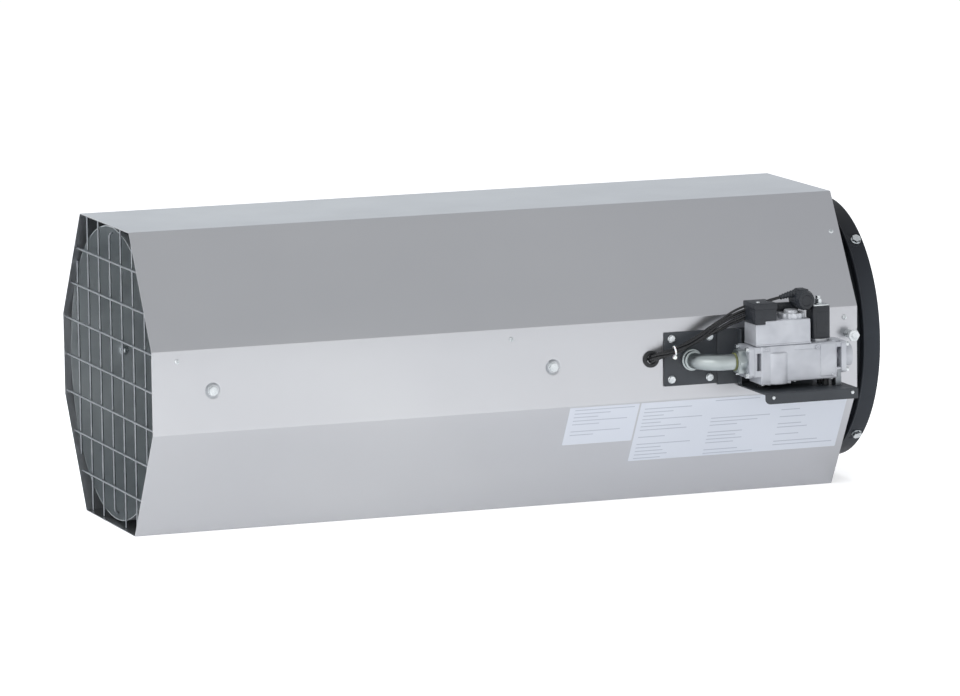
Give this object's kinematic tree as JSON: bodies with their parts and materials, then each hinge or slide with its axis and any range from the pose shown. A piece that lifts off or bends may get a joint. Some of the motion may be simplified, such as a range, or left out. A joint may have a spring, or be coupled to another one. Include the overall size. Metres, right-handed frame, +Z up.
{
  "type": "gas forced air heater",
  "caption": "Octagonal sheet steel forced air heater: a combustion tube behind a wire outlet grille, an axial fan in an inlet ring, and a gas valve on a side tray.",
  "frame": {"origin": "middle of the casing's flat bottom face", "axes": "+X along the casing to the fan end, the gas valve on the -Y side, +Z up from the flat bottom"},
  "size_m": [1.213, 0.6685, 0.47],
  "materials": {
    "stainless_sheet": "satin stainless sheet",
    "tube_sheet": "dull stainless sheet",
    "galvanized": "zinc coated steel",
    "bright_fasteners": "bright zinc plate",
    "black_ring": "satin black coat",
    "grey_coat": "dark grey powder coat",
    "motor_black": "black coat",
    "blade_paint": "dark satin coat",
    "steel_parts": "ground steel",
    "zinc_pipe": "zinc plated pipe",
    "cast_head": "cast surface",
    "brass_nozzle": "machined brass",
    "cast_aluminium": "satin die cast aluminium",
    "seal_rubber": "matte",
    "black_plastic": "matte black plastic",
    "grey_cap": "grey plastic",
    "lead_cover": "soft cover",
    "white_nylon": "nylon",
    "label_film": "blank film",
    "ceramic": "pale glazed",
    "box_plastic": "grey moulded plastic",
    "reset_red": "red",
    "controller_blue": "moulded"
  },
  "bodies": {
    "base": {"lower_casing": "stainless_sheet", "upper_casing": "stainless_sheet", "casing_screws": "bright_fasteners", "end_plate": "galvanized", "outlet_grille": "galvanized", "combustion_tube": "tube_sheet", "tube_bolts": "bright_fasteners", "side_studs": "bright_fasteners", "fan_ring": "black_ring", "ring_bolts": "bright_fasteners", "fan_guard": "black_ring", "fan_arms": "black_ring", "motor_stator": "motor_black", "motor_bearings": "steel_parts", "burner_pipe": "zinc_pipe", "burner_head": "cast_head", "gas_nozzle": "brass_nozzle", "flame_disc": "tube_sheet", "flame_cup": "tube_sheet", "electrode_ceramics": "ceramic", "electrode_rods": "steel_parts", "burner_plate": "grey_coat", "plate_screws": "bright_fasteners", "gas_elbow": "zinc_pipe", "pipe_seal": "seal_rubber", "union_nut": "zinc_pipe", "outlet_flange": "cast_aluminium", "inlet_flange": "cast_aluminium", "flange_screws": "bright_fasteners", "valve_body": "cast_aluminium", "regulator_block": "cast_aluminium", "regulator_cap": "grey_cap", "solenoid_tube": "steel_parts", "solenoid_coil": "black_plastic", "coil_plate": "bright_fasteners", "coil_nut": "bright_fasteners", "plunger_spring": "steel_parts", "valve_connector": "black_plastic", "connector_screw": "bright_fasteners", "coil_plug": "black_plastic", "valve_feet": "galvanized", "valve_tray": "grey_coat", "tray_rivets": "bright_fasteners", "lead_grommet": "seal_rubber", "valve_leads": "lead_cover", "cable_tie": "white_nylon", "blank_labels": "label_film", "control_box": "box_plastic", "control_lid": "box_plastic", "lid_screws": "bright_fasteners", "cable_gland": "black_plastic", "burner_controller": "controller_blue", "ignition_transformer": "black_plastic", "terminal_strip": "ceramic"},
    "fan": {"motor_rotor": "motor_black", "motor_shaft": "steel_parts", "fan_blades": "blade_paint"},
    "plunger": {"valve_plunger": "steel_parts"},
    "button": {"reset_button": "reset_red"}
  },
  "joints": [
    {"name": "fan_spin", "type": "hinge", "parent": "base", "child": "fan", "pos_m": [0.57, 0, 0.235], "axis": [1, 0, 0], "continuous": true},
    {"name": "valve_lift", "type": "slide", "parent": "base", "child": "plunger", "axis": [0, 0, 1], "range_m": [0, 0.003], "stiffness_N_per_m": 300, "springref_m": -0.004, "deforming": ["plunger_spring"]},
    {"name": "reset_press", "type": "slide", "parent": "base", "child": "button", "axis": [0, -1, 0], "range_m": [0, 0.002], "stiffness_N_per_m": 300, "springref_m": -0.001}
  ]
}
